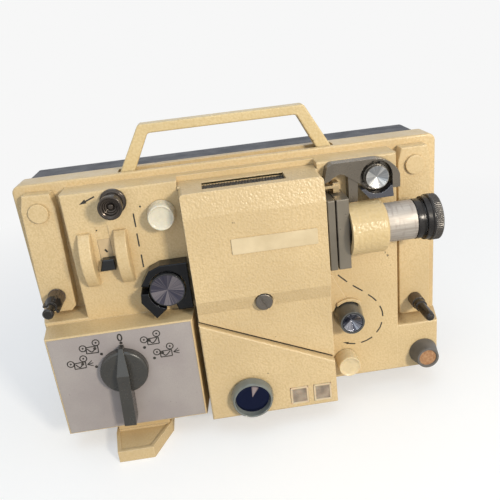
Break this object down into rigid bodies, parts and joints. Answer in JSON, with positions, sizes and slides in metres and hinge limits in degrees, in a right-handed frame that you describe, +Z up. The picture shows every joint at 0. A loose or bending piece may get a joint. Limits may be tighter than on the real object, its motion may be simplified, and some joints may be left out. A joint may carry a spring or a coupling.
{
  "type": "sound film projector",
  "caption": "Portable sound film projector with folded reel arms, projection lens, lamp house, rotary selector and a drop-in carrying handle.",
  "frame": {"origin": "on the supporting surface, below the middle of the object's bounding box", "axes": "+Z up, +X along the optical axis towards the screen, +Y from the operator side with the film path to the back"},
  "size_m": [0.33, 0.162, 0.2487],
  "materials": {
    "cream_enamel": "hammered cream enamel",
    "dark_case": "fine textured dark enamel",
    "fascia_metal": "brushed, light grey",
    "black_metal": "black enamel",
    "bronze_grey": "satin dark grey",
    "steel": "bright turned steel",
    "dark_steel": "blackened steel",
    "aluminium": "brushed",
    "white_plastic": "glossy white",
    "ivory_plastic": "satin ivory",
    "grey_plastic": "satin dark grey",
    "smoke_plastic": "smoked with a mirror face",
    "frosted_plastic": "frosted",
    "brown_plastic": "satin grey brown",
    "black_plastic": "matte black",
    "rubber": "matte black",
    "brown_rubber": "matte brown",
    "brass": "satin",
    "glass": "polished",
    "board": "brown laminate",
    "iron": "laminated iron",
    "galvanised": "zinc plated"
  },
  "bodies": {
    "case": {"front_housing": "cream_enamel", "rear_cover": "dark_case", "chassis_plate": "aluminium", "plate_screws": "galvanised", "rear_screws": "galvanised", "sound_cover": "cream_enamel", "indicator_windows": "frosted_plastic", "control_fascia": "fascia_metal", "selector_switch": "black_plastic", "slider_ribs": "cream_enamel", "arm_pivots": "cream_enamel", "upper_guard": "bronze_grey", "upper_shoe": "bronze_grey", "film_entry": "brass", "lower_guard": "black_metal", "gate_plate": "bronze_grey", "front_foot": "cream_enamel", "rear_feet": "rubber", "motor": "iron", "drive_belt": "rubber", "timing_belt": "rubber", "lamp": "glass", "lamp_holder": "galvanised", "condenser": "glass", "transformer": "iron", "sound_head": "galvanised", "amplifier_board": "board", "mains_inlet": "black_plastic"},
    "handle": {"carry_handle": "cream_enamel"},
    "lamp_house_cover": {"lamp_cover": "cream_enamel", "name_plate": "cream_enamel"},
    "coin_screw": {"cover_screw": "steel"},
    "selector": {"selector_knob": "grey_plastic"},
    "volume": {"volume_knob": "smoke_plastic"},
    "framing": {"framing_knob": "white_plastic"},
    "inching": {"inching_knob": "ivory_plastic"},
    "slider": {"format_slider": "black_plastic"},
    "entry": {"entry_roller": "dark_steel"},
    "loop": {"loop_roller": "smoke_plastic", "flywheel": "steel"},
    "feed": {"upper_sprocket": "steel"},
    "take_up": {"lower_sprocket": "smoke_plastic"},
    "shoe": {"lower_shoe": "black_metal"},
    "carrier": {"lens_carrier": "cream_enamel", "pressure_plate": "bronze_grey"},
    "barrel": {"lens_barrel": "aluminium", "lens_glass": "glass"},
    "ring": {"lens_ring": "black_plastic"},
    "arm_left": {"left_arm": "cream_enamel"},
    "spindle_left": {"left_spindle": "dark_steel"},
    "arm_right": {"right_arm": "cream_enamel"},
    "spindle_right": {"right_spindle": "dark_steel"},
    "tilt": {"tilt_knob": "brown_plastic"},
    "foot": {"tilt_foot": "galvanised", "foot_rubber": "brown_rubber"},
    "works": {"main_shaft": "steel", "shutter": "black_metal"},
    "motor_rotor": {"motor_shaft": "steel", "fan_wheel": "galvanised"}
  },
  "joints": [
    {"name": "handle_slide", "type": "slide", "parent": "case", "child": "handle", "axis": [0, 0, -1], "range_m": [0, 0.0335]},
    {"name": "lamp_cover_slide", "type": "slide", "parent": "case", "child": "lamp_house_cover", "axis": [0, -1, 0], "range_m": [0, 0.06]},
    {"name": "cover_screw_turn", "type": "hinge", "parent": "lamp_house_cover", "child": "coin_screw", "pos_m": [0.013, -0.059, 0.1155], "axis": [0, -1, 0], "range_deg": [0, 1080]},
    {"name": "selector_turn", "type": "hinge", "parent": "case", "child": "selector", "pos_m": [-0.10001, -0.062, 0.073], "axis": [0, 1, 0], "range_deg": [-75, 75]},
    {"name": "volume_turn", "type": "hinge", "parent": "case", "child": "volume", "pos_m": [-0.005, -0.07, 0.0361], "axis": [0, 1, 0], "range_deg": [-140, 140]},
    {"name": "framing_turn", "type": "hinge", "parent": "case", "child": "framing", "pos_m": [-0.05381, -0.039, 0.1865], "axis": [0, 1, 0], "range_deg": [-40, 40]},
    {"name": "format_slide", "type": "slide", "parent": "case", "child": "slider", "axis": [0, 0, 1], "range_m": [0, 0.01]},
    {"name": "entry_spin", "type": "hinge", "parent": "case", "child": "entry", "pos_m": [-0.087, -0.039, 0.2007], "axis": [0, 1, 0], "continuous": true},
    {"name": "loop_spin", "type": "hinge", "parent": "case", "child": "loop", "pos_m": [0.0825, -0.039, 0.07999], "axis": [0, 1, 0], "continuous": true},
    {"name": "works_spin", "type": "hinge", "parent": "case", "child": "works", "pos_m": [0, -0.021, 0.157], "axis": [1, 0, 0], "continuous": true},
    {"name": "motor_spin", "type": "hinge", "parent": "case", "child": "motor_rotor", "pos_m": [0, 0.051, 0.09], "axis": [1, 0, 0], "continuous": true},
    {"name": "feed_spin", "type": "hinge", "parent": "case", "child": "feed", "pos_m": [0.107, -0.039, 0.1955], "axis": [0, -1, 0], "continuous": true},
    {"name": "take_up_spin", "type": "hinge", "parent": "case", "child": "take_up", "pos_m": [-0.058, -0.039, 0.1305], "axis": [0, -1, 0], "continuous": true},
    {"name": "inching_spin", "type": "hinge", "parent": "case", "child": "inching", "pos_m": [0.079, -0.039, 0.0375], "axis": [0, -1, 0], "continuous": true},
    {"name": "shoe_swing", "type": "hinge", "parent": "case", "child": "shoe", "pos_m": [-0.0756, -0.039, 0.1275], "axis": [0, 1, 0], "range_deg": [0, 25]},
    {"name": "lens_carrier_slide", "type": "slide", "parent": "case", "child": "carrier", "axis": [1, 0, 0], "range_m": [0, 0.004], "stiffness_N_per_m": 400, "springref_m": -0.002},
    {"name": "lens_focus_slide", "type": "slide", "parent": "carrier", "child": "barrel", "axis": [1, 0, 0], "range_m": [-0.003, 0.003]},
    {"name": "lens_ring_turn", "type": "hinge", "parent": "barrel", "child": "ring", "pos_m": [0.13101, -0.055, 0.1612], "axis": [1, 0, 0], "range_deg": [-60, 60]},
    {"name": "left_arm_swing", "type": "hinge", "parent": "case", "child": "arm_left", "pos_m": [-0.1457, -0.015, 0.195], "axis": [0, 1, 0], "range_deg": [0, 130]},
    {"name": "left_spindle_spin", "type": "hinge", "parent": "arm_left", "child": "spindle_left", "pos_m": [-0.14813, -0.0258, 0.12554], "axis": [0, 1, 0], "continuous": true},
    {"name": "right_arm_swing", "type": "hinge", "parent": "case", "child": "arm_right", "pos_m": [0.1439, -0.015, 0.195], "axis": [0, -1, 0], "range_deg": [0, 145]},
    {"name": "right_spindle_spin", "type": "hinge", "parent": "arm_right", "child": "spindle_right", "pos_m": [0.1439, -0.0258, 0.0785], "axis": [0, 1, 0], "continuous": true},
    {"name": "tilt_turn", "type": "hinge", "parent": "case", "child": "tilt", "pos_m": [0.1465, -0.039, 0.0335], "axis": [0, 1, 0], "range_deg": [0, 557.04]},
    {"name": "tilt_foot_slide", "type": "slide", "parent": "case", "child": "foot", "axis": [0, 0, -1], "range_m": [0, 0.0352]}
  ],
  "couplings": [
    {"joint": "motor_spin", "follows": "works_spin", "ratio": 2},
    {"joint": "feed_spin", "follows": "works_spin", "ratio": 0.083333},
    {"joint": "take_up_spin", "follows": "works_spin", "ratio": 0.083333},
    {"joint": "inching_spin", "follows": "works_spin", "ratio": 0.083333},
    {"joint": "lens_ring_turn", "follows": "lens_focus_slide", "rad_per_m": 348.72},
    {"joint": "tilt_foot_slide", "follows": "tilt_turn", "m_per_rad": 0.0036}
  ]
}
